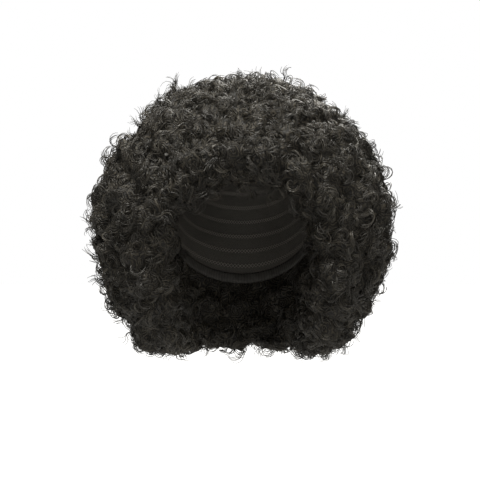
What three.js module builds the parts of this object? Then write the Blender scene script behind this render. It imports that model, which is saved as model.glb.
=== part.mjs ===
// A round curly clown wig, modelled as it is worn: rows of curled hair sewn to a stretch cap.
// Millimetres, +Z up, the face towards -Y. The origin is the crown of the head, inside the cap.
import * as THREE from "three";
import { mergeVertices } from "three/addons/utils/BufferGeometryUtils.js";

// The head and neck that the wig goes over
const headWidth = 152;
const headLength = 194;
const crownToTemples = 108;
const neckTaperDepth = 190;

// The stretch cap, and how far below the crown its edge lies
const capWall = 1.5;
const foreheadDrop = 44;
const napeDrop = 160;

// The elastic binding folded over the cap's edge
const elasticWidth = 9;
const elasticPly = 0.9;
const elasticGap = 0.3;

// Air between the hair and what it is sewn to, and across a parting between two rows
const hairGap = 0.8;
const partingGap = 0.8;

// The round of hair, to the tips of its locks
const hairWidth = 320;
const hairFront = 145;
const hairBack = 165;
const hairTop = 61;
const fullestDrop = 95;
const hairShift = 5;
const hemTaperDepth = 181;
const hemDrop = 233;

// The opening for the face: an arch that starts level with the ears and flares towards the front
const archHalfWidth = 71;
const archFootHalfWidth = 62;
const archTopDrop = 52;
const archSpringDrop = 127;
const archStart = 20;
const archFlare = 0.1;

// The locks: how far they stand out on the round of the hair, and round the face and the hem
const lockRise = 15;
const lipRise = 8;
const lockLean = 6;
const lockTwist = THREE.MathUtils.degToRad(16);
const lockScatter = 0.22;
const shoulderHeight = 0.72;
const shoulderWidth = 0.66;

// How far down from the whorl the tips reach: short over the forehead, long at the sides
const frontReach = THREE.MathUtils.degToRad(97);
const sideReach = THREE.MathUtils.degToRad(134);
const backReach = THREE.MathUtils.degToRad(116);

// Rows of hair from the whorl to the rim, with two bands of locks each
const rowNames = ["crown_weft", "weft_2", "weft_3", "weft_4", "rim_weft"];
const locksRound = 28;
const outerCrownLocks = 14;
const innerCrownLocks = 7;
const hairColumns = 2 * locksRound;
const capColumns = 40;
const capSteps = 8;
const tuftShare = 0.16;

// How closely the edge of the hair is found
const edgeStep = THREE.MathUtils.degToRad(0.1);

// Half-sizes of an egg-shaped form, which may differ from front to back and from top to bottom
const headForm = {
  side: headWidth / 2,
  front: headLength / 2,
  back: headLength / 2,
  up: crownToTemples,
  down: neckTaperDepth,
};
const hairForm = {
  side: hairWidth / 2,
  front: hairFront,
  back: hairBack,
  up: hairTop + fullestDrop,
  down: hemTaperDepth,
};
const headCentre = new THREE.Vector3(0, 0, -crownToTemples);
const hairCentre = new THREE.Vector3(0, hairShift, -fullestDrop);

function grown(form, by) {
  return Object.fromEntries(Object.entries(form).map(([key, size]) => [key, size + by]));
}

// Point of a form's surface in a direction from its centre
function onForm(form, centre, direction) {
  const x = direction.x / form.side;
  const y = direction.y / (direction.y < 0 ? form.front : form.back);
  const z = direction.z / (direction.z < 0 ? form.down : form.up);
  return centre.clone().addScaledVector(direction, 1 / Math.hypot(x, y, z));
}

// Angle from straight up of a level on the head's profile
function levelAngle(drop) {
  const z = crownToTemples - drop;
  const high = z < 0 ? headForm.down : headForm.up;
  return Math.atan2(headForm.front * Math.sqrt(1 - (z / high) ** 2), z);
}

// The rows run round an axis through the whorl, which leans back so that the rim is a circle round it
const whorlTilt = (levelAngle(napeDrop) - levelAngle(foreheadDrop)) / 2;
const rimAngle = (levelAngle(napeDrop) + levelAngle(foreheadDrop)) / 2;
const sideAxis = new THREE.Vector3(1, 0, 0);
const whorlAxis = new THREE.Vector3(0, 0, 1).applyAxisAngle(sideAxis, -whorlTilt);
const frontAxis = new THREE.Vector3(0, -1, 0).applyAxisAngle(sideAxis, -whorlTilt);

// Direction at an angle down from the whorl, on the side that its turn round the axis gives: 0 is the front
function directionAt(down, turn) {
  return whorlAxis
    .clone()
    .multiplyScalar(Math.cos(down))
    .addScaledVector(frontAxis, Math.sin(down) * Math.cos(turn))
    .addScaledVector(sideAxis, Math.sin(down) * Math.sin(turn));
}

// Closed geometry from points and triangles: double points are merged, and what they close up is dropped
function closedGeometry(points, triangles) {
  const geometry = new THREE.BufferGeometry().setFromPoints(points);
  geometry.setIndex(triangles.flat());
  const merged = mergeVertices(geometry, 1e-4);
  const corners = merged.index.array;
  const kept = [];
  for (let i = 0; i < corners.length; i += 3) {
    const [a, b, c] = corners.subarray(i, i + 3);
    if (a !== b && b !== c && c !== a) kept.push(a, b, c);
  }
  merged.setIndex(kept);
  merged.computeVertexNormals();
  return merged;
}

// Steady scatter between -1 and 1, so that no two locks are alike
function scatter(seed) {
  const wave = Math.sin(seed * 12.9898) * 43758.5453;
  return 2 * (wave - Math.floor(wave)) - 1;
}

function average(points) {
  const sum = new THREE.Vector3();
  for (const point of points) sum.add(point);
  return sum.divideScalar(points.length);
}

// Outward direction of a loop of points that runs clockwise seen from outside
function facing(loop, centre) {
  const sum = new THREE.Vector3();
  loop.forEach((point, k) => {
    const next = loop[(k + 1) % loop.length].clone().sub(centre);
    sum.add(next.cross(point.clone().sub(centre)));
  });
  return sum.normalize();
}

// A body of revolution of a kind: rings of points round the whorl's axis, joined in order into a closed skin.
// A line gives its ring's point at each turn. A band of locks spans three lines, above and below it the
// columns between two points, and a tuft closes a ring at the whorl.
function ringBody({ columns, lines, bands = [], tuft = null, closed = true }) {
  const points = [];
  const triangles = [];
  const made = new Map();
  const vertex = (line, column) => {
    const wrapped = ((column % columns) + columns) % columns;
    const key = line * columns + wrapped;
    if (!made.has(key)) {
      made.set(key, points.length);
      points.push(lines[line]((2 * Math.PI * wrapped) / columns));
    }
    return made.get(key);
  };
  // One lock grows out of its loop: a shoulder, turned a little, and a tip that leans over
  const lock = (loop, centre, rise) => {
    const outward = facing(loop.map((index) => points[index]), centre);
    const seed = points.length;
    const height = rise * (1 + lockScatter * scatter(seed));
    const lean = new THREE.Vector3(scatter(seed + 1), scatter(seed + 2), scatter(seed + 3));
    const shoulder = loop.map((index) => {
      const reach = points[index].clone().sub(centre).multiplyScalar(shoulderWidth);
      reach.applyAxisAngle(outward, lockTwist).addScaledVector(outward, shoulderHeight * height);
      points.push(centre.clone().add(reach));
      return points.length - 1;
    });
    const tip = centre.clone().addScaledVector(outward, height);
    points.push(tip.addScaledVector(lean.cross(outward), lockLean));
    loop.forEach((index, k) => {
      const l = (k + 1) % loop.length;
      triangles.push([index, shoulder[l], loop[l]], [index, shoulder[k], shoulder[l]]);
      triangles.push([shoulder[k], points.length - 1, shoulder[l]]);
    });
  };
  const covered = new Set();
  for (const { first, locks, rise, stagger = 0, above = 1, below = 1 } of bands) {
    const wide = columns / locks;
    covered.add(first).add(first + 1);
    for (let i = 0; i < locks; i++) {
      const [from, to] = [i * wide + stagger, (i + 1) * wide + stagger];
      const loop = [];
      for (let c = from; c <= to; c += above) loop.push(vertex(first, c));
      loop.push(vertex(first + 1, to));
      for (let c = to; c >= from; c -= below) loop.push(vertex(first + 2, c));
      loop.push(vertex(first + 1, from));
      const middle = lines[first + 1]((Math.PI * (from + to)) / columns);
      lock(loop, middle, rise);
    }
  }
  if (tuft !== null) {
    const loop = [];
    for (let c = columns; c > 0; c -= tuft.stride) loop.push(vertex(0, c));
    lock(loop, average(loop.map((index) => points[index])), tuft.rise);
  }
  const last = closed ? lines.length : lines.length - 1;
  for (let line = 0; line < last; line++) {
    if (covered.has(line)) continue;
    const next = (line + 1) % lines.length;
    for (let c = 0; c < columns; c++) {
      const [a, b, d, e] = [vertex(line, c), vertex(line, c + 1), vertex(next, c + 1), vertex(next, c)];
      const slack = points[b].distanceTo(points[e]) - points[a].distanceTo(points[d]);
      if (slack > 0) triangles.push([a, d, b], [a, e, d]);
      else triangles.push([a, e, b], [b, e, d]);
    }
  }
  return closedGeometry(points, triangles);
}

function evenly(from, to, steps) {
  return Array.from({ length: steps + 1 }, (_, i) => from + ((to - from) * i) / steps);
}

// Line on the head, grown by a distance, at a share of the way from the whorl to the rim
function headLine(share, out, past = 0) {
  const form = grown(headForm, out);
  return (turn) => {
    const radius = onForm(form, headCentre, directionAt(share * rimAngle, turn)).distanceTo(headCentre);
    return onForm(form, headCentre, directionAt(share * rimAngle + past / radius, turn));
  };
}

// The cap: a wall in the head's own shape, from the whorl to the rim
function capGeometry() {
  const skin = (out) => [
    ...evenly(0, 1, capSteps).slice(0, -1).map((share) => headLine(share, out)),
    headLine(1, out, -elasticWidth),
    headLine(1, out),
  ];
  const lines = [...skin(capWall), ...skin(0).reverse()];
  return ringBody({ columns: capColumns, lines, closed: false });
}

// The binding: a channel of tape, open towards the whorl, with the cap's edge in it
const elasticOuter = capWall + elasticGap + elasticPly;
const elasticEnd = elasticGap + elasticPly;

function elasticGeometry() {
  const lines = [
    headLine(1, capWall + elasticGap, -elasticWidth),
    headLine(1, elasticOuter, -elasticWidth),
    headLine(1, elasticOuter, elasticEnd),
    headLine(1, -elasticEnd, elasticEnd),
    headLine(1, -elasticEnd, -elasticWidth),
    headLine(1, -elasticGap, -elasticWidth),
    headLine(1, -elasticGap, elasticGap),
    headLine(1, capWall + elasticGap, elasticGap),
  ];
  return ringBody({ columns: capColumns, lines });
}

// The hair's outer wall between its locks, and how far off the head its inner walls are
const valleyForm = grown(hairForm, -lockRise);
const seatOut = capWall + hairGap;
const neckOut = elasticOuter + hairGap;

// How far down the partings go by the time they reach the tips
function tipReach(turn) {
  const side = THREE.MathUtils.smoothstep(1 - Math.cos(turn), 0, 1);
  const back = THREE.MathUtils.smoothstep(-Math.cos(turn), 0, 1);
  return frontReach + (sideReach - frontReach) * side + (backReach - sideReach) * back;
}

// Line on the hair's outer wall, at a share of the way from the whorl to the rim
function valleyLine(share, past = 0) {
  const down = (turn) => share * tipReach(turn) + past / valleyForm.up;
  return (turn) => onForm(valleyForm, hairCentre, directionAt(down(turn), turn));
}

// Half-width of the face's arch at a height, seen from the front, after growing it all round
function archHalfWidthAt(z, growth) {
  if (z < -archSpringDrop) {
    const share = Math.min((-archSpringDrop - z) / (hemDrop - archSpringDrop), 1);
    return archHalfWidth + (archFootHalfWidth - archHalfWidth) * share + growth;
  }
  const rise = (z + archSpringDrop) / (archSpringDrop - archTopDrop + growth);
  return rise < 1 ? (archHalfWidth + growth) * Math.sqrt(1 - rise ** 2) : 0;
}

// Whether a place is in front of the face or below the hem, where there is no hair
function isBare(point) {
  const depth = -archStart - point.y;
  const arch = depth > 0 && Math.abs(point.x) < archHalfWidthAt(point.z, lipRise + archFlare * depth);
  return arch || point.z < -(hemDrop - lipRise);
}

// Where a form's surface meets the edge of the hair, on one side of the whorl
function edgeLine(form, centre, from) {
  return (turn) => {
    const at = (down) => onForm(form, centre, directionAt(down, turn));
    let down = from(turn);
    while (down < Math.PI && !isBare(at(down + edgeStep))) down += edgeStep;
    return at(down);
  };
}

function between(lineA, lineB, share) {
  return (turn) => lineA(turn).lerp(lineB(turn), share);
}

// Row at the whorl: a tuft, a few wide locks round it, then narrower ones round those
function crownRow(bottom) {
  const wide = hairColumns / innerCrownLocks;
  const narrow = hairColumns / outerCrownLocks;
  const shares = evenly(tuftShare * bottom, bottom, 4);
  const lines = [
    valleyLine(shares[0]),
    valleyLine(shares[1]),
    valleyLine(shares[2]),
    valleyLine(shares[3]),
    valleyLine(bottom, -partingGap / 2),
    headLine(bottom, seatOut, -partingGap / 2),
    headLine(bottom / 2, seatOut),
    headLine(0, seatOut),
  ];
  const bands = [
    { first: 0, locks: innerCrownLocks, rise: lockRise, above: wide, below: narrow },
    { first: 2, locks: outerCrownLocks, rise: lockRise, above: narrow },
  ];
  const tuft = { stride: wide, rise: lockRise };
  return ringBody({ columns: hairColumns, lines, bands, tuft, closed: false });
}

// Row all round the cap between two partings
function ringRow(top, bottom) {
  const shares = evenly(top, bottom, 4);
  const lines = [
    valleyLine(top, partingGap / 2),
    valleyLine(shares[1]),
    valleyLine(shares[2]),
    valleyLine(shares[3]),
    valleyLine(bottom, -partingGap / 2),
    headLine(bottom, seatOut, -partingGap / 2),
    headLine(shares[2], seatOut),
    headLine(top, seatOut, partingGap / 2),
  ];
  const bands = [
    { first: 0, locks: locksRound, rise: lockRise },
    { first: 2, locks: locksRound, rise: lockRise, stagger: 1 },
  ];
  return ringBody({ columns: hairColumns, lines, bands });
}

// Last row: from its parting down over the face's arch and the hem, in under them, and up to the rim
function rimRow(top) {
  const parting = valleyLine(top, partingGap / 2);
  const lip = edgeLine(valleyForm, hairCentre, (turn) => top * tipReach(turn));
  const pastRim = elasticEnd + hairGap;
  const neckTop = rimAngle + (pastRim + lipRise) / headForm.side;
  const neckEdge = edgeLine(grown(headForm, neckOut), headCentre, () => neckTop);
  const onValley = (share) => (turn) => {
    const from = parting(turn).sub(hairCentre);
    const to = lip(turn).sub(hairCentre);
    return onForm(valleyForm, hairCentre, from.lerp(to, share));
  };
  const inner = evenly(0, 1, 4).slice(1, -1);
  const lines = [
    parting,
    ...inner.map(onValley),
    lip,
    ...inner.map((share) => between(lip, neckEdge, share)),
    neckEdge,
    headLine(1, neckOut, pastRim),
    headLine(1, neckOut, -elasticWidth - hairGap),
    headLine(1, seatOut, -elasticWidth - hairGap),
    headLine(top, seatOut, partingGap / 2),
  ];
  const bands = [
    { first: 0, locks: locksRound, rise: lockRise },
    { first: 2, locks: locksRound, rise: lockRise, stagger: 1 },
    { first: 4, locks: locksRound, rise: lipRise },
    { first: 6, locks: locksRound, rise: lipRise, stagger: 1 },
  ];
  return ringBody({ columns: hairColumns, lines, bands });
}

const netLook = new THREE.MeshStandardMaterial({ color: 0x12110f, roughness: 0.9, metalness: 0 });
const elasticLook = new THREE.MeshStandardMaterial({ color: 0x181614, roughness: 0.8, metalness: 0 });
const hairLook = new THREE.MeshStandardMaterial({ color: 0x1c1a17, roughness: 0.55, metalness: 0 });

const wig = new THREE.Group();

function add(name, geometry, look) {
  const mesh = new THREE.Mesh(geometry, look);
  mesh.name = name;
  wig.add(mesh);
}

const partings = evenly(0, 1, rowNames.length);
add("cap", capGeometry(), netLook);
add("rim_elastic", elasticGeometry(), elasticLook);
rowNames.forEach((name, row) => {
  const [top, bottom] = [partings[row], partings[row + 1]];
  if (top === 0) add(name, crownRow(bottom), hairLook);
  else if (bottom === 1) add(name, rimRow(top), hairLook);
  else add(name, ringRow(top, bottom), hairLook);
});

export default wig;
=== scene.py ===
"""A round, curly clown wig in near-black fibre, dressed over its solids.

Sizes are in metres: +Z is up, the opening is towards -Y, and the origin is inside the top of the cap.
"""

import math

import bmesh
import bpy
import numpy as np
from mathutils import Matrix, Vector
from mathutils.kdtree import KDTree


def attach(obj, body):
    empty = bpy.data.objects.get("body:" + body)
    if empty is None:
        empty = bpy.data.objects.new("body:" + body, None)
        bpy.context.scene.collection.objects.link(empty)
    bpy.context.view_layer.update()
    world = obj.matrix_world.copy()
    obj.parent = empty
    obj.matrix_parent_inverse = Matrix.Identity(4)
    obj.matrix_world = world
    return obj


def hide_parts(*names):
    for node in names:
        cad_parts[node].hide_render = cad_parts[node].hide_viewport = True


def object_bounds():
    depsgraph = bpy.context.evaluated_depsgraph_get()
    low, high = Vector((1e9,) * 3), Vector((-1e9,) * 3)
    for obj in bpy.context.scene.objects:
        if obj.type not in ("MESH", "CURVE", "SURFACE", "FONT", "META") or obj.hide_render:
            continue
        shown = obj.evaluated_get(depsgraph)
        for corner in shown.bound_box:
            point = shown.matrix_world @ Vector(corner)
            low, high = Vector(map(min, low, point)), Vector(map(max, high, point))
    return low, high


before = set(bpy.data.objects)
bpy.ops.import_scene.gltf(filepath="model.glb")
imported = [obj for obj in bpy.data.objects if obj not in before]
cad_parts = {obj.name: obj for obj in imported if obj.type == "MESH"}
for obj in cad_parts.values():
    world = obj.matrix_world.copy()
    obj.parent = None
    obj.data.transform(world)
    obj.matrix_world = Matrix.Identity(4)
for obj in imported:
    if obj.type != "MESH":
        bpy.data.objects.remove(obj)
cad_low, cad_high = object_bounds()


# The stretch cap: a hollow dome of fine black net, knitted in one piece, that carries all the hair.
# Narrow tracks of tape run round it inside, from a whorl at the back of its top down to its edge,
# and each row of hair is stitched through one of them.

cap_centre = np.array([0.0, 0.0, -0.108])
cap_mean_radius = 0.085
whorl_tilt = math.radians(34.2)
weld_distance = 1e-5
rounding_levels = 1
net_cell = 0.0030
net_thread_share = 0.18
track_pitch = 0.0140
track_half_width = 0.0020
tape_rise = 1.6
stitch_length = 0.0034
stitch_half_thread = 0.00032
hole_tone = (0.0045, 0.0040, 0.0034, 1)
thread_tone = (0.085, 0.079, 0.070, 1)
tape_tone = (0.034, 0.031, 0.028, 1)
stitch_tone = (0.140, 0.130, 0.115, 1)


def points_of(mesh):
    """The place of every vertex of a mesh."""
    points = np.empty(len(mesh.vertices) * 3)
    mesh.vertices.foreach_get("co", points)
    return points.reshape(-1, 3)


def whorl_angles(points):
    """(angle down from the whorl, turn round it) of points, the turn being 0 at the front."""
    offset = points - cap_centre
    sine, cosine = math.sin(whorl_tilt), math.cos(whorl_tilt)
    up = offset[:, 2] * cosine + offset[:, 1] * sine
    front = offset[:, 2] * sine - offset[:, 1] * cosine
    side = offset[:, 0]
    return np.arctan2(np.hypot(front, side), up), np.arctan2(side, front)


def smooth_copy(node):
    """The node's own shell, welded and rounded by subdivision."""
    shell = bmesh.new()
    shell.from_mesh(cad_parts[node].data)
    bmesh.ops.remove_doubles(shell, verts=shell.verts, dist=weld_distance)
    mesh = bpy.data.meshes.new(node + "_smooth")
    shell.to_mesh(mesh)
    shell.free()
    worker = bpy.data.objects.new(node + "_worker", mesh)
    bpy.context.scene.collection.objects.link(worker)
    modifier = worker.modifiers.new("round", "SUBSURF")
    modifier.levels = rounding_levels
    graph = bpy.context.evaluated_depsgraph_get()
    rounded = bpy.data.meshes.new_from_object(worker.evaluated_get(graph))
    bpy.data.objects.remove(worker)
    rounded.shade_smooth()
    return rounded


def add_cap_uv(mesh):
    """A map in metres along the cap: X is the turn round the whorl and Y the way down from it."""
    down, turn = whorl_angles(points_of(mesh))
    loops = np.empty(len(mesh.loops), dtype=np.int32)
    mesh.loops.foreach_get("vertex_index", loops)
    turn = turn[loops].reshape(-1, 4)
    over_the_back = np.ptp(turn, axis=1, keepdims=True) > np.pi
    turn = np.where(over_the_back & (turn < 0), turn + 2 * np.pi, turn).ravel()
    uv = np.stack([turn, down[loops]], axis=1) * cap_mean_radius
    layer = mesh.uv_layers.new(name="cap_turn")
    layer.data.foreach_set("uv", uv.ravel())


def new_material(name):
    """(material, its nodes, its links, its Principled shader)."""
    material = bpy.data.materials.new(name)
    material.use_nodes = True
    nodes = material.node_tree.nodes
    return material, nodes, material.node_tree.links, nodes["Principled BSDF"]


def math_node(nodes, links, operation, first, second=None, third=None):
    """Output of a math node on sockets or numbers."""
    node = nodes.new("ShaderNodeMath")
    node.operation = operation
    for socket, value in zip(node.inputs, (first, second, third)):
        if isinstance(value, bpy.types.NodeSocket):
            links.new(value, socket)
        elif value is not None:
            socket.default_value = value
    return node.outputs[0]


def tinted(nodes, links, below, above, share):
    """Output of a mix from one colour or socket to another by a share."""
    mix = nodes.new("ShaderNodeMixRGB")
    for socket, value in zip(mix.inputs, (share, below, above)):
        if isinstance(value, bpy.types.NodeSocket):
            links.new(value, socket)
        else:
            socket.default_value = value
    return mix.outputs[0]


def net_material():
    """Fine knitted net, with the stitched tracks that carry the rows of hair."""
    material, nodes, links, shader = new_material("stretch_net")
    place = nodes.new("ShaderNodeUVMap")
    place.uv_map = "cap_turn"
    split = nodes.new("ShaderNodeSeparateXYZ")
    links.new(place.outputs["UV"], split.inputs[0])
    from_track = math_node(nodes, links, "PINGPONG", split.outputs["Y"], track_pitch / 2)
    track = math_node(nodes, links, "LESS_THAN", from_track, track_half_width)
    zigzag = math_node(nodes, links, "PINGPONG", split.outputs["X"], stitch_length / 2)
    stitch = math_node(nodes, links, "COMPARE", from_track, zigzag, stitch_half_thread)
    cell_places = nodes.new("ShaderNodeMapping")
    cell_places.inputs["Scale"].default_value = (1 / net_cell, 1 / net_cell, 1 / net_cell)
    links.new(place.outputs["UV"], cell_places.inputs["Vector"])
    cells = nodes.new("ShaderNodeTexVoronoi")
    cells.voronoi_dimensions = "2D"
    cells.feature = "DISTANCE_TO_EDGE"
    cells.inputs["Randomness"].default_value = 0.3
    links.new(cell_places.outputs[0], cells.inputs["Vector"])
    thread = math_node(nodes, links, "LESS_THAN", cells.outputs["Distance"], net_thread_share)
    tone = tinted(nodes, links, hole_tone, thread_tone, thread)
    tone = tinted(nodes, links, tone, tape_tone, track)
    tone = tinted(nodes, links, tone, stitch_tone, stitch)
    links.new(tone, shader.inputs["Base Color"])
    tape = math_node(nodes, links, "MULTIPLY", track, tape_rise)
    height = math_node(nodes, links, "MAXIMUM", thread, tape)
    height = math_node(nodes, links, "ADD", height, stitch)
    bump = nodes.new("ShaderNodeBump")
    bump.inputs["Strength"].default_value = 0.8
    bump.inputs["Distance"].default_value = 0.0005
    links.new(height, bump.inputs["Height"])
    links.new(bump.outputs["Normal"], shader.inputs["Normal"])
    shader.inputs["Roughness"].default_value = 0.7
    return material


def new_piece(name, mesh, material, slot, *nodes):
    """A dressed piece in place of its nodes, riding on the one body of the wig."""
    piece = bpy.data.objects.new(name, mesh)
    bpy.context.scene.collection.objects.link(piece)
    piece.data.materials.clear()
    piece.data.materials.append(material)
    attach(piece, "root")
    if nodes:
        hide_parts(*nodes)
    return piece


cap_mesh = smooth_copy("cap")
add_cap_uv(cap_mesh)
new_piece("net_cap", cap_mesh, net_material(), "cap_net", "cap")


# The elastic binding: a woven tape folded over the cap's edge and stitched through both plies.
# It is ribbed across its width, so that it can stretch with the cap.

rib_pitch = 0.0027
rib_patches_per_metre = 260
# Colour in the grooves between the ribs, a painted shade, and in the darker patches of the tape's own
# unevenness.
groove_shade_and_uneven_tone = (0.012, 0.011, 0.0098, 1)
rib_tone = (0.040, 0.037, 0.033, 1)


def elastic_material():
    """Soft ribs across the tape, painted shade in their grooves, and a slight unevenness from rib to
    rib.
    """
    material, nodes, links, shader = new_material("ribbed_elastic")
    place = nodes.new("ShaderNodeUVMap")
    place.uv_map = "cap_turn"
    split = nodes.new("ShaderNodeSeparateXYZ")
    links.new(place.outputs["UV"], split.inputs[0])
    rib = math_node(nodes, links, "PINGPONG", split.outputs["X"], rib_pitch / 2)
    rib = math_node(nodes, links, "DIVIDE", rib, rib_pitch / 2)
    uneven = nodes.new("ShaderNodeTexNoise")
    uneven.inputs["Scale"].default_value = rib_patches_per_metre
    links.new(place.outputs["UV"], uneven.inputs["Vector"])
    # Painted shade: the tone falls to the groove colour in the grooves, and the noise adds the tape's
    # own unevenness.
    shade = math_node(nodes, links, "MULTIPLY", rib, uneven.outputs["Fac"])
    links.new(tinted(nodes, links, groove_shade_and_uneven_tone, rib_tone, shade), shader.inputs["Base Color"])
    bump = nodes.new("ShaderNodeBump")
    bump.inputs["Strength"].default_value = 0.6
    bump.inputs["Distance"].default_value = 0.0006
    links.new(rib, bump.inputs["Height"])
    links.new(bump.outputs["Normal"], shader.inputs["Normal"])
    shader.inputs["Roughness"].default_value = 0.65
    return material


elastic_mesh = smooth_copy("rim_elastic")
add_cap_uv(elastic_mesh)
new_piece("elastic_binding", elastic_mesh, elastic_material(), "elastic", "rim_elastic")


# The body of the hair: five rows of curled fibre, each sewn to the cap, and so dense that they
# close into one ball with no parting. This is the dark mass inside, lumpy where the locks bunch,
# that the curls on the outside stand on.

rows = ["crown_weft", "weft_2", "weft_3", "weft_4", "rim_weft"]
row_overlap = 0.0007
pile_voxel = 0.0046
dice = np.random.default_rng(1962)


def normals_of(mesh):
    """The normal at every vertex of a mesh."""
    normals = np.empty(len(mesh.vertices) * 3)
    mesh.vertices.foreach_get("normal", normals)
    return normals.reshape(-1, 3)


def joined_rows():
    """All rows in one mesh, each grown a little so that neighbours overlap."""
    vertices, faces, labels = [], [], []
    for index, row in enumerate(rows):
        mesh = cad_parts[row].data
        start = sum(len(part) for part in vertices)
        vertices.append(points_of(mesh) + normals_of(mesh) * row_overlap)
        labels += [index] * len(mesh.vertices)
        faces += [[start + corner for corner in face.vertices] for face in mesh.polygons]
    joined = bpy.data.meshes.new("rows_joined")
    joined.from_pydata(np.concatenate(vertices).tolist(), [], faces)
    return joined, np.array(labels)


def main_island(mesh):
    """Deletes all but the largest connected part."""
    shell = bmesh.new()
    shell.from_mesh(mesh)
    shell.verts.ensure_lookup_table()
    seen = np.zeros(len(shell.verts), dtype=bool)
    largest = []
    for vertex in shell.verts:
        if seen[vertex.index]:
            continue
        seen[vertex.index] = True
        island = [vertex]
        for reached in island:
            for edge in reached.link_edges:
                other = edge.other_vert(reached)
                if not seen[other.index]:
                    seen[other.index] = True
                    island.append(other)
        if len(island) > len(largest):
            largest = island
    kept = set(largest)
    bmesh.ops.delete(shell, geom=[v for v in shell.verts if v not in kept], context="VERTS")
    shell.to_mesh(mesh)
    shell.free()


def pile_body():
    """(one closed skin over all rows, the joined rows, the row of each of their vertices)."""
    joined, labels = joined_rows()
    worker = bpy.data.objects.new("pile_worker", joined)
    bpy.context.scene.collection.objects.link(worker)
    remesh = worker.modifiers.new("skin", "REMESH")
    remesh.mode = "VOXEL"
    remesh.voxel_size = pile_voxel
    soften = worker.modifiers.new("soften", "SMOOTH")
    soften.factor = 0.6
    soften.iterations = 14
    graph = bpy.context.evaluated_depsgraph_get()
    pile = bpy.data.meshes.new_from_object(worker.evaluated_get(graph))
    bpy.data.objects.remove(worker)
    main_island(pile)
    pile.name = "hair_pile"
    return pile, joined, labels


pile_mesh, joined_mesh, row_labels = pile_body()

lock_samples = 9000
lock_sizes = {
    "large": {"spacing": 0.0300, "height": 0.0105, "sink": -0.0044},
    "small": {"spacing": 0.0125, "height": 0.0045, "sink": 0.0020},
}
crease_share = 0.75
flat_side = {"place": (-0.122, 0.020, 0.004), "reach": (0.046, 0.090, 0.046), "depth": 0.011}
hollow_half_width = 0.076
hollow_half_length = 0.097
hollow_height_above = 0.108
hollow_height_below = 0.190
seat_clearance = 1.13
seat_facing = 0.1
rim_angle = math.radians(84.9)
rim_margin = 0.06


def unit(vectors):
    """The same directions, each of length 1."""
    return vectors / np.maximum(np.linalg.norm(vectors, axis=-1, keepdims=True), 1e-9)


def surface_samples(mesh, count):
    """Random points all over a mesh, with their normals."""
    mesh.calc_loop_triangles()
    corners = np.empty(len(mesh.loop_triangles) * 3, dtype=np.int32)
    mesh.loop_triangles.foreach_get("vertices", corners)
    corners = corners.reshape(-1, 3)
    points, normals = points_of(mesh), normals_of(mesh)
    a, b, c = (points[corners[:, k]] for k in range(3))
    area = np.linalg.norm(np.cross(b - a, c - a), axis=1)
    chosen = dice.choice(len(corners), size=count, p=area / area.sum())
    u, v = dice.random((2, count, 1))
    folded = (u + v) > 1
    u, v = np.where(folded, 1 - u, u), np.where(folded, 1 - v, v)
    place = a[chosen] + u * (b - a)[chosen] + v * (c - a)[chosen]
    facing = normals[corners[chosen]].mean(axis=1)
    return place, facing / np.linalg.norm(facing, axis=1, keepdims=True)


def spaced_out(points, spacing):
    """Indices of points that keep their distance from those chosen before them."""
    cells = {}
    kept = []
    for index, point in enumerate(points):
        cell = tuple((point // spacing).astype(int))
        near = (
            other
            for dx in (-1, 0, 1)
            for dy in (-1, 0, 1)
            for dz in (-1, 0, 1)
            for other in cells.get((cell[0] + dx, cell[1] + dy, cell[2] + dz), ())
        )
        if all(np.sum((points[other] - point) ** 2) > spacing**2 for other in near):
            cells.setdefault(cell, []).append(index)
            kept.append(index)
    return np.array(kept)


def hollow_share(points):
    """How far out points lie, as a share of the way from the cap's centre to its inner wall."""
    offset = points - cap_centre
    height = np.where(offset[:, 2] > 0, hollow_height_above, hollow_height_below)
    width = np.full(len(points), hollow_half_width)
    length = np.full(len(points), hollow_half_length)
    return np.linalg.norm(offset / np.stack([width, length, height], axis=1), axis=1)


def lies_on_cap(points, normals):
    """Whether places are on the side of the hair that is turned to the cap."""
    down, _ = whorl_angles(points)
    turned_in = np.sum(normals * unit(points - cap_centre), axis=1) < seat_facing
    return (hollow_share(points) < seat_clearance) & (down < rim_angle + rim_margin) & turned_in


def raise_locks(mesh, lock):
    """Swells the pile into rounded locks and leaves a crease where they meet."""
    centres, _ = surface_samples(mesh, lock_samples)
    centres = centres[spaced_out(centres, lock["spacing"])]
    tree = KDTree(len(centres))
    for index, centre in enumerate(centres):
        tree.insert(centre, index)
    tree.balance()
    points, normals = points_of(mesh), normals_of(mesh)
    near = np.array([[hit[2] for hit in tree.find_n(point, 2)] for point in points])
    from_crease = np.clip((near[:, 1] - near[:, 0]) / lock["spacing"], 0, 1)
    rise = (np.sqrt(from_crease) - crease_share) * lock["height"] - lock["sink"]
    rise[lies_on_cap(points, normals)] = 0
    points += normals * rise[:, None]
    mesh.vertices.foreach_set("co", points.ravel())
    mesh.update()


def press_flat(mesh, side):
    """Sinks the pile where the ball was pressed a little flat, high on one side."""
    points, normals = points_of(mesh), normals_of(mesh)
    away = (points - np.array(side["place"])) / np.array(side["reach"])
    share = np.clip(1 - np.sum(away**2, axis=1), 0, 1) ** 2
    points -= normals * (side["depth"] * share)[:, None]
    mesh.vertices.foreach_set("co", points.ravel())
    mesh.update()


for lock in lock_sizes.values():
    raise_locks(pile_mesh, lock)
press_flat(pile_mesh, flat_side)
pile_mesh.shade_smooth()

shade_patches_per_metre = 38
shade_patch_share = 0.5
deepest_fibre = (0.0048, 0.0038, 0.0025, 1)
common_fibre = (0.0125, 0.0106, 0.0074, 1)
palest_fibre = (0.038, 0.033, 0.024, 1)
deepest_up_to = 0.2
common_at = 0.65
# Painted shade for the creases between the arcs of the packed curls.
painted_crease_shade = (0.25, 0.24, 0.23, 1)
sways_per_metre = 120
sway_reach = 0.009
curl_centres_per_metre = 68
arc_turn = 38.0
pile_paleness = 0.6


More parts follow.
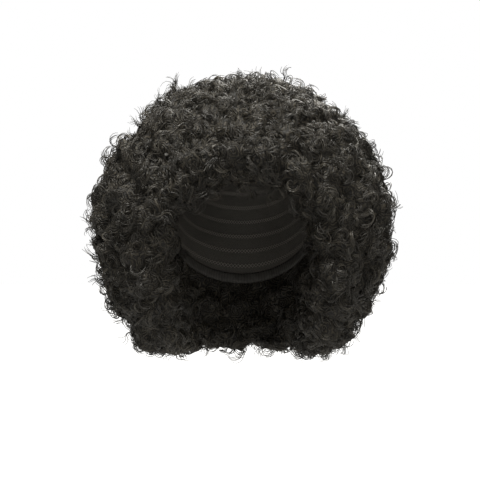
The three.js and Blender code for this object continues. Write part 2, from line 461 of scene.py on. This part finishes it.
def fibre_tone_group():
    """Shade of the fibre: near-black and warm, uneven from lock to lock, paler strands, painted crease
    shade.
    """
    group = bpy.data.node_groups.new("fibre tone and crease shade", "ShaderNodeTree")
    group.interface.new_socket("Strand", in_out="INPUT", socket_type="NodeSocketFloat")
    group.interface.new_socket("Depth", in_out="INPUT", socket_type="NodeSocketFloat")
    group.interface.new_socket("Color", in_out="OUTPUT", socket_type="NodeSocketColor")
    nodes, links = group.nodes, group.links
    given = nodes.new("NodeGroupInput")
    made = nodes.new("NodeGroupOutput")
    place = nodes.new("ShaderNodeTexCoord")
    patches = nodes.new("ShaderNodeTexNoise")
    patches.inputs["Scale"].default_value = shade_patches_per_metre
    patches.inputs["Detail"].default_value = 3
    links.new(place.outputs["Object"], patches.inputs["Vector"])
    patch, strand = patches.outputs["Fac"], given.outputs["Strand"]
    mixed = math_node(nodes, links, "MULTIPLY_ADD", patch, shade_patch_share, strand)
    shade = nodes.new("ShaderNodeValToRGB")
    shade.color_ramp.elements[0].position = deepest_up_to
    shade.color_ramp.elements[0].color = deepest_fibre
    shade.color_ramp.elements[1].position = 1.0
    shade.color_ramp.elements[1].color = palest_fibre
    middle = shade.color_ramp.elements.new(common_at)
    middle.color = common_fibre
    links.new(mixed, shade.inputs["Fac"])
    # Painted shade: where Depth is set, the colour is multiplied down towards the crease shade.
    darken = nodes.new("ShaderNodeMixRGB")
    darken.blend_type = "MULTIPLY"
    links.new(given.outputs["Depth"], darken.inputs["Fac"])
    links.new(shade.outputs["Color"], darken.inputs["Color1"])
    darken.inputs["Color2"].default_value = painted_crease_shade
    links.new(darken.outputs[0], made.inputs["Color"])
    return group


fibre_tone_and_crease_shade = fibre_tone_group()


def pile_material():
    """Packed curls: arcs of fibre wound round many small centres, with painted shade between the arcs.
    """
    material, nodes, links, shader = new_material("packed_curls")
    place = nodes.new("ShaderNodeTexCoord")
    sway = nodes.new("ShaderNodeTexNoise")
    sway.inputs["Scale"].default_value = sways_per_metre
    links.new(place.outputs["Object"], sway.inputs["Vector"])
    shift = nodes.new("ShaderNodeVectorMath")
    shift.operation = "MULTIPLY_ADD"
    links.new(sway.outputs["Color"], shift.inputs[0])
    shift.inputs[1].default_value = (sway_reach, sway_reach, sway_reach)
    links.new(place.outputs["Object"], shift.inputs[2])
    centres = nodes.new("ShaderNodeTexVoronoi")
    centres.inputs["Scale"].default_value = curl_centres_per_metre
    links.new(shift.outputs[0], centres.inputs["Vector"])
    turns = math_node(nodes, links, "MULTIPLY", centres.outputs["Distance"], arc_turn)
    arcs = math_node(nodes, links, "SINE", turns)
    arcs = math_node(nodes, links, "MULTIPLY_ADD", arcs, 0.5, 0.5)
    tone = nodes.new("ShaderNodeGroup")
    tone.node_tree = fibre_tone_and_crease_shade
    # Painted shade: the troughs between the arcs take the deepest tone and are darkened again through
    # Depth.
    links.new(math_node(nodes, links, "MULTIPLY", arcs, pile_paleness), tone.inputs["Strand"])
    links.new(math_node(nodes, links, "SUBTRACT", 1.0, arcs), tone.inputs["Depth"])
    links.new(tone.outputs["Color"], shader.inputs["Base Color"])
    bump = nodes.new("ShaderNodeBump")
    bump.inputs["Strength"].default_value = 0.8
    bump.inputs["Distance"].default_value = 0.0010
    links.new(arcs, bump.inputs["Height"])
    links.new(bump.outputs["Normal"], shader.inputs["Normal"])
    shader.inputs["Roughness"].default_value = 0.6
    shader.inputs["Specular IOR Level"].default_value = 0.25
    return material


new_piece("hair_pile", pile_mesh, pile_material(), "hair", *rows)


# The curls of each row: bundles of crimped strands that leave the pile, arch over and dive
# back into it. Each strand is a fine closed tube, thinner towards its tip, with painted shade
# darkening its ends where they enter the pile, and the strands of one bundle bend in step.

bundle_samples = 60000
bundle_spacing = 0.0075
bundle_half_width = 0.0027
bundle_strands = (4, 7)
inner_facing = -0.2
inner_share = 0.50
root_depth = 0.0006
root_depth_of_coil = 0.12
reverse_between = (0.5, 0.8)
past_the_tip = 2.0
axis_wander = 0.45
crimp_depth = 0.35
crimp_turn = 6
least_coil = 0.0015
tip_thinning = 0.5
tone_balance = (2.0, 3.0)
palest_strand = 0.85
# Painted shade at both ends of each strand, where it meets the pile, and how far the tone lifts back at
# its middle.
end_shade = 0.55
middle_lift = 0.45
strand_spread = {
    "place": 0.0005,
    "heading": 0.10,
    "axis": 0.06,
    "wander": 0.10,
    "pulse": 0.3,
    "coil": 0.0003,
    "turns": 0.04,
    "reverse_at": 0.02,
    "radius": 0.15,
    "tone": 0.16,
}
strand_sides = 3
first_side = (0.3, 0.5, 0.81)
triangle_limit = 185000
curl_kinds = {
    "arch": {
        "share": 0.66,
        "lean": (15, 70),
        "coil": (0.0038, 0.0081),
        "turns": (0.45, 0.72),
        "pitch": (-0.10, 0.30),
        "backward": (-0.3, 0.5),
        "reversed": 0.10,
        "radius": 0.00036,
        "stations": 9,
    },
    "ringlet": {
        "share": 0.10,
        "lean": (30, 75),
        "coil": (0.0024, 0.0038),
        "turns": (1.0, 1.4),
        "pitch": (0.10, 0.28),
        "backward": (-0.2, 0.8),
        "reversed": 0.1,
        "radius": 0.00036,
        "stations": 13,
    },
    "loop": {
        "share": 0.24,
        "lean": (-15, 35),
        "coil": (0.0060, 0.0104),
        "turns": (0.30, 0.44),
        "pitch": (-0.40, 0.40),
        "backward": (-0.9, -0.3),
        "reversed": 0.0,
        "radius": 0.00033,
        "stations": 9,
    },
}


def row_finder(joined, labels):
    """A function that gives the row of the joined vertex nearest to a point."""
    tree = KDTree(len(labels))
    for index, vertex in enumerate(joined.vertices):
        tree.insert(vertex.co, index)
    tree.balance()
    return lambda point: labels[tree.find(point)[1]]


def tangents(normals):
    """A random direction along the surface for each normal."""
    drift = dice.normal(size=normals.shape)
    return unit(drift - np.sum(drift * normals, axis=1, keepdims=True) * normals)


def bundle_paths(places, normals, kind):
    """(path, radius, tone) at each station of each strand, with a bundle at each place."""
    bundles = len(places)
    counts = dice.integers(*bundle_strands, bundles)

    def draw(low, high):
        """One value for each bundle."""
        return dice.uniform(low, high, (bundles, 1))

    def each(values, measure):
        """The bundles' values for each of their strands, a little apart."""
        repeated = np.repeat(values, counts, axis=0)
        return repeated + dice.normal(size=repeated.shape) * strand_spread[measure]

    lean = np.radians(draw(*kind["lean"]))
    axes = unit(np.cos(lean) * tangents(normals) + np.sin(lean) * normals)
    side = unit(np.cross(axes, normals))
    rise = np.cross(side, axes)
    backward = draw(*kind["backward"])
    headings = rise * np.cos(backward) - side * np.sin(backward) + axes * draw(*kind["pitch"])
    coil = draw(*kind["coil"])
    turns = draw(*kind["turns"])
    is_reversed = dice.random((bundles, 1)) < kind["reversed"]
    reverse_at = np.where(is_reversed, draw(*reverse_between), past_the_tip)
    depth = coil * np.cos(lean) * root_depth_of_coil + root_depth
    tone = dice.beta(*tone_balance, (bundles, 1))

    spread = np.repeat(axes, counts, axis=0) * dice.uniform(-1, 1, (counts.sum(), 1))
    place = each(places - normals * depth, "place") + spread * bundle_half_width
    heading = unit(each(headings, "heading"))
    axis_start = each(axes, "axis")
    axis_drift = each(dice.normal(size=axes.shape) * axis_wander, "wander")
    pulse = each(draw(0, 2 * np.pi), "pulse")
    coil = np.maximum(each(coil, "coil"), least_coil)
    step = 2 * np.pi * coil * each(turns, "turns") / (kind["stations"] - 1)
    reverse_at = each(reverse_at, "reverse_at")
    path = [place]
    for share in np.linspace(0, 1, kind["stations"])[1:]:
        bend = (1 + crimp_depth * np.sin(pulse + crimp_turn * share)) / coil
        bend = np.where(share > reverse_at, -bend, bend)
        axis = unit(axis_start + axis_drift * share)
        heading = unit(heading + np.cross(axis, heading) * bend * step)
        place = place + heading * step
        path.append(place)
    share = np.linspace(0, 1, kind["stations"])[None]
    thickness = np.abs(each(np.ones((bundles, 1)), "radius"))
    radii = kind["radius"] * thickness * (1 - tip_thinning * share**3)
    # Painted shade: each strand's tone falls to end_shade at both ends, where it meets the pile.
    shade = end_shade + middle_lift * np.sin(np.pi * share)
    tones = np.clip(each(tone, "tone"), 0, palest_strand) * shade
    return np.stack(path, axis=1), radii, tones


def tubes(paths, radii, tones):
    """(vertices, faces, tone of each vertex) of closed tubes along paths."""
    strands, stations, _ = paths.shape
    along = unit(np.gradient(paths, axis=1))
    across = np.empty_like(paths)
    across[:, 0] = unit(np.cross(along[:, 0], first_side))
    for station in range(1, stations):
        carried = across[:, station - 1]
        slip = np.sum(carried * along[:, station], axis=1, keepdims=True)
        across[:, station] = unit(carried - slip * along[:, station])
    third = np.cross(along, across)
    angle = 2 * np.pi * np.arange(strand_sides) / strand_sides
    ring = (
        np.cos(angle)[None, None, :, None] * across[:, :, None]
        + np.sin(angle)[None, None, :, None] * third[:, :, None]
    )
    vertices = paths[:, :, None] + radii[:, :, None, None] * ring
    number = np.arange(strands * stations * strand_sides).reshape(strands, stations, strand_sides)
    turned = np.roll(number, -1, axis=2)
    walls = np.stack([number[:, :-1], turned[:, :-1], turned[:, 1:], number[:, 1:]], axis=-1)
    ends = np.concatenate([number[:, 0, ::-1], number[:, -1]])
    return vertices.reshape(-1, 3), (walls.reshape(-1, 4), ends), np.repeat(tones.ravel(), strand_sides)


def strands_mesh(name, groups):
    """One mesh from several (paths, radii, tones)."""
    vertices, faces, tones = [], [], []
    start = 0
    for group in groups:
        points, (walls, ends), shades = tubes(*group)
        vertices.append(points)
        faces += (walls + start).tolist() + (ends + start).tolist()
        tones.append(shades)
        start += len(points)
    mesh = bpy.data.meshes.new(name)
    mesh.from_pydata(np.concatenate(vertices).tolist(), [], faces)
    # Each strand's own tone, with the painted shade at its ends.
    shade = mesh.attributes.new("strand_tone_and_end_shade", "FLOAT", "POINT")
    shade.data.foreach_set("value", np.concatenate(tones))
    mesh.shade_smooth()
    return mesh


def strand_material():
    """The fibre in each strand's own tone, with painted shade at its ends and a soft gloss."""
    material, nodes, links, shader = new_material("curled_fibre")
    own = nodes.new("ShaderNodeAttribute")
    own.attribute_name = "strand_tone_and_end_shade"
    tone = nodes.new("ShaderNodeGroup")
    tone.node_tree = fibre_tone_and_crease_shade
    tone.inputs["Depth"].default_value = 0.0
    links.new(own.outputs["Fac"], tone.inputs["Strand"])
    links.new(tone.outputs["Color"], shader.inputs["Base Color"])
    shader.inputs["Roughness"].default_value = 0.46
    shader.inputs["Specular IOR Level"].default_value = 0.55
    return material


curled_fibre = strand_material()
row_of = row_finder(joined_mesh, row_labels)

bundle_places, bundle_normals = surface_samples(pile_mesh, bundle_samples)
chosen = spaced_out(bundle_places, bundle_spacing)
chosen = chosen[~lies_on_cap(bundle_places[chosen], bundle_normals[chosen])]
outward = unit(bundle_places[chosen] - cap_centre)
turned_in = np.sum(bundle_normals[chosen] * outward, axis=1) < inner_facing
chosen = chosen[~turned_in | (dice.random(len(chosen)) < inner_share)]
bundle_places, bundle_normals = bundle_places[chosen], bundle_normals[chosen]
bundle_rows = np.array([row_of(place) for place in bundle_places])
kind_shares = [kind["share"] for kind in curl_kinds.values()]
bundle_kinds = dice.choice(list(curl_kinds), size=len(chosen), p=kind_shares)

for index, row in enumerate(rows):
    groups = []
    for name, kind in curl_kinds.items():
        here = (bundle_rows == index) & (bundle_kinds == name)
        groups.append(bundle_paths(bundle_places[here], bundle_normals[here], kind))
    triangles = sum(radii.size * strand_sides * 2 for _, radii, _ in groups)
    parts = math.ceil(triangles / triangle_limit)
    for part in range(parts):
        label = row + "_curls" if parts == 1 else f"{row}_curls_{part + 1}"
        mesh = strands_mesh(label, [[values[part::parts] for values in group] for group in groups])
        new_piece(label, mesh, curled_fibre, "hair", row)


# The stray tufts: six small tufts of the same fibre that stand up from the ball where it was
# teased out. Each is rooted in the rows, drawn together into a stalk and parted at its tips.

metres_per_pixel = 0.00106
crown_row = 133
wig_column = 242
tufts = {
    "left_low": {"root_pixel": (131, 129), "tip_pixel": (118, 119), "strands": 16},
    "left": {"root_pixel": (153, 108), "tip_pixel": (155, 88), "strands": 14},
    "left_high": {"root_pixel": (175, 94), "tip_pixel": (178, 74), "strands": 34},
    "middle": {"root_pixel": (238, 81), "tip_pixel": (237, 67), "strands": 20},
    "right_high": {"root_pixel": (305, 95), "tip_pixel": (309, 84), "strands": 14},
    "right": {"root_pixel": (345, 121), "tip_pixel": (350, 108), "strands": 26},
}
outline_facing = 0.3
tuft_root_depth = 0.003
tuft_radius = 0.0018
tuft_reach = (0.30, 1.15)
tuft_sway = 0.0024
tuft_crimp_turn = 7
stalk_share = 0.35
stalk_flare = 0.65
stalk_narrowing = 1.7
tuft_strand_radius = 0.00036
tuft_tip_thinning = 0.7
tuft_tones = (0.1, 0.5)
tuft_stations = 9


def front_pixels(points):
    """Where points lie in the photograph's frame, seen from straight in front."""
    column = wig_column + points[:, 0] / metres_per_pixel
    row = crown_row - points[:, 2] / metres_per_pixel
    return np.stack([column, row], axis=1)


def outline_root(tuft):
    """The place on the ball's outline, seen from the front, that is nearest to a tuft's middle."""
    middle = np.mean([tuft["root_pixel"], tuft["tip_pixel"]], axis=0)
    edge = np.abs(bundle_normals[:, 1]) < outline_facing
    far = np.linalg.norm(front_pixels(bundle_places) - middle, axis=1)
    return bundle_places[np.argmin(np.where(edge, far, np.inf))]


def tuft_paths(tuft):
    """Strands that rise from round a root, draw together into a stalk and part at their tips."""
    strands = tuft["strands"]
    across, down = np.subtract(tuft["tip_pixel"], tuft["root_pixel"]) * metres_per_pixel
    rise = np.array([across, 0.0, -down])
    root = outline_root(tuft) - unit(rise) * tuft_root_depth
    foot = dice.normal(size=(strands, 1, 3)) * tuft_radius
    share = np.linspace(0, 1, tuft_stations)[None, :, None]
    reach = dice.uniform(*tuft_reach, (strands, 1, 1))
    sway = dice.normal(size=(strands, 1, 3)) * tuft_sway
    phase = dice.uniform(0, 2 * np.pi, (strands, 1, 1))
    crimp = sway * np.sin(phase + share * tuft_crimp_turn) * share
    gathered = stalk_share + stalk_flare * np.abs(1 - stalk_narrowing * share)
    paths = root + foot * gathered + rise * share * reach + crimp
    thinning = 1 - tuft_tip_thinning * share[..., 0] ** 2
    radii = tuft_strand_radius * thinning * np.ones((strands, 1))
    tones = dice.uniform(*tuft_tones, (strands, 1)) * np.ones((1, tuft_stations))
    return paths, radii, tones


tuft_mesh = strands_mesh("stray_tufts", [tuft_paths(tuft) for tuft in tufts.values()])
new_piece("stray_tufts", tuft_mesh, curled_fibre, "hair")


# The front loops: loose curls of the same fibre along the lip of the hair, over the opening.
# They are rooted in the rows as the other curls are, and hang a little clear of them.

lip_half_width = 0.062
lip_front = -0.085
lip_top = -0.030
lip_facing = -0.35
hang_down = np.array([0.0, -0.35, -0.94])
hang_scatter = 0.25
hanging_kind = {
    "lean": (-20, 20),
    "coil": (0.0050, 0.0100),
    "turns": (0.30, 0.60),
    "pitch": (-0.30, 0.30),
    "backward": (-0.2, 0.8),
    "reversed": 0.3,
    "radius": 0.00034,
    "stations": 12,
}


def lip_roots():
    """Places along the lip of the hair, at the front and turned down to the opening."""
    near_middle = np.abs(bundle_places[:, 0]) < lip_half_width
    at_front = (bundle_places[:, 1] < lip_front) & near_middle
    lip = (bundle_normals[:, 2] < lip_facing) & (bundle_places[:, 2] < lip_top)
    return bundle_places[at_front & lip]


lip_places = lip_roots()
scatter = dice.normal(size=lip_places.shape) * hang_scatter
lip_normals = unit(np.tile(hang_down, (len(lip_places), 1)) + scatter)
hanging_curls = bundle_paths(lip_places, lip_normals, hanging_kind)
new_piece("forehead_loops", strands_mesh("forehead_loops", [hanging_curls]), curled_fibre, "hair")


# The studio: a plain white floor and sky, with soft light from above, in front and behind, and
# the camera straight in front, level with the middle of the opening.

floor_drop = 0.30
floor_half_side = 20
sky_on_object = 0.78
sky_gloss = 0.28
warm_white = (1.0, 0.97, 0.90)
light_aim = Vector((0, 0, -0.09))
lights = {
    "key_light": {"place": (-0.28, -0.72, 2.00), "size": 0.5, "power": 104},
    "fill_light": {"place": (0.9, -1.5, 0.5), "size": 0.8, "power": 9},
    "back_light": {"place": (0.5, 1.5, 1.3), "size": 0.6, "power": 44},
}
photo_width, photo_height = 480, 497
camera_distance = 2.1


def floor_material():
    """White where it is seen, and dull in the light that it throws back up."""
    material, nodes, links, shader = new_material("white_floor")
    ray = nodes.new("ShaderNodeLightPath")
    shader.inputs["Base Color"].default_value = (0.40, 0.40, 0.40, 1)
    shader.inputs["Roughness"].default_value = 0.9
    shader.inputs["Emission Color"].default_value = (1, 1, 1, 1)
    links.new(ray.outputs["Is Camera Ray"], shader.inputs["Emission Strength"])
    return material


floor_mesh = bpy.data.meshes.new("floor")
floor_height = cad_low.z - floor_drop
floor_corners = [(-1, -1), (1, -1), (1, 1), (-1, 1)]
floor_mesh.from_pydata(
    [(x * floor_half_side, y * floor_half_side, floor_height) for x, y in floor_corners],
    [],
    [(0, 1, 2, 3)],
)
floor_mesh.materials.append(floor_material())
floor = bpy.data.objects.new("floor", floor_mesh)
bpy.context.scene.collection.objects.link(floor)

world = bpy.data.worlds.new("studio")
world.use_nodes = True
sky = world.node_tree.nodes["Background"]
sky_nodes, sky_links = world.node_tree.nodes, world.node_tree.links
ray = sky_nodes.new("ShaderNodeLightPath")
seen, glossy = ray.outputs["Is Camera Ray"], ray.outputs["Is Glossy Ray"]
sky_tone = tinted(sky_nodes, sky_links, (*warm_white, 1), (1, 1, 1, 1), seen)
sky_links.new(sky_tone, sky.inputs["Color"])
to_camera = math_node(sky_nodes, sky_links, "MULTIPLY", seen, 1 - sky_on_object)
to_gloss = math_node(sky_nodes, sky_links, "MULTIPLY", glossy, sky_gloss - sky_on_object)
strength = math_node(sky_nodes, sky_links, "ADD", to_camera, to_gloss)
strength = math_node(sky_nodes, sky_links, "ADD", strength, sky_on_object)
sky_links.new(strength, sky.inputs["Strength"])
bpy.context.scene.world = world
bpy.context.scene.view_settings.view_transform = "Standard"


def soft_light(name, place, size, power):
    """A round light that points at the middle of the hair."""
    lamp = bpy.data.lights.new(name, "AREA")
    lamp.shape = "DISK"
    lamp.size = size
    lamp.energy = power
    lamp.color = warm_white
    holder = bpy.data.objects.new(name, lamp)
    holder.location = place
    holder.rotation_euler = (light_aim - Vector(place)).to_track_quat("-Z", "Y").to_euler()
    bpy.context.scene.collection.objects.link(holder)


for name, light in lights.items():
    soft_light(name, light["place"], light["size"], light["power"])

camera = bpy.data.cameras.new("camera")
camera.sensor_width = 36
camera.lens = camera.sensor_width * camera_distance / (photo_height * metres_per_pixel)
holder = bpy.data.objects.new("camera", camera)
holder.location = (
    (photo_width / 2 - wig_column) * metres_per_pixel,
    -camera_distance,
    (crown_row - photo_height / 2) * metres_per_pixel,
)
holder.rotation_euler = (math.pi / 2, 0, 0)
bpy.context.scene.collection.objects.link(holder)
bpy.context.scene.camera = holder
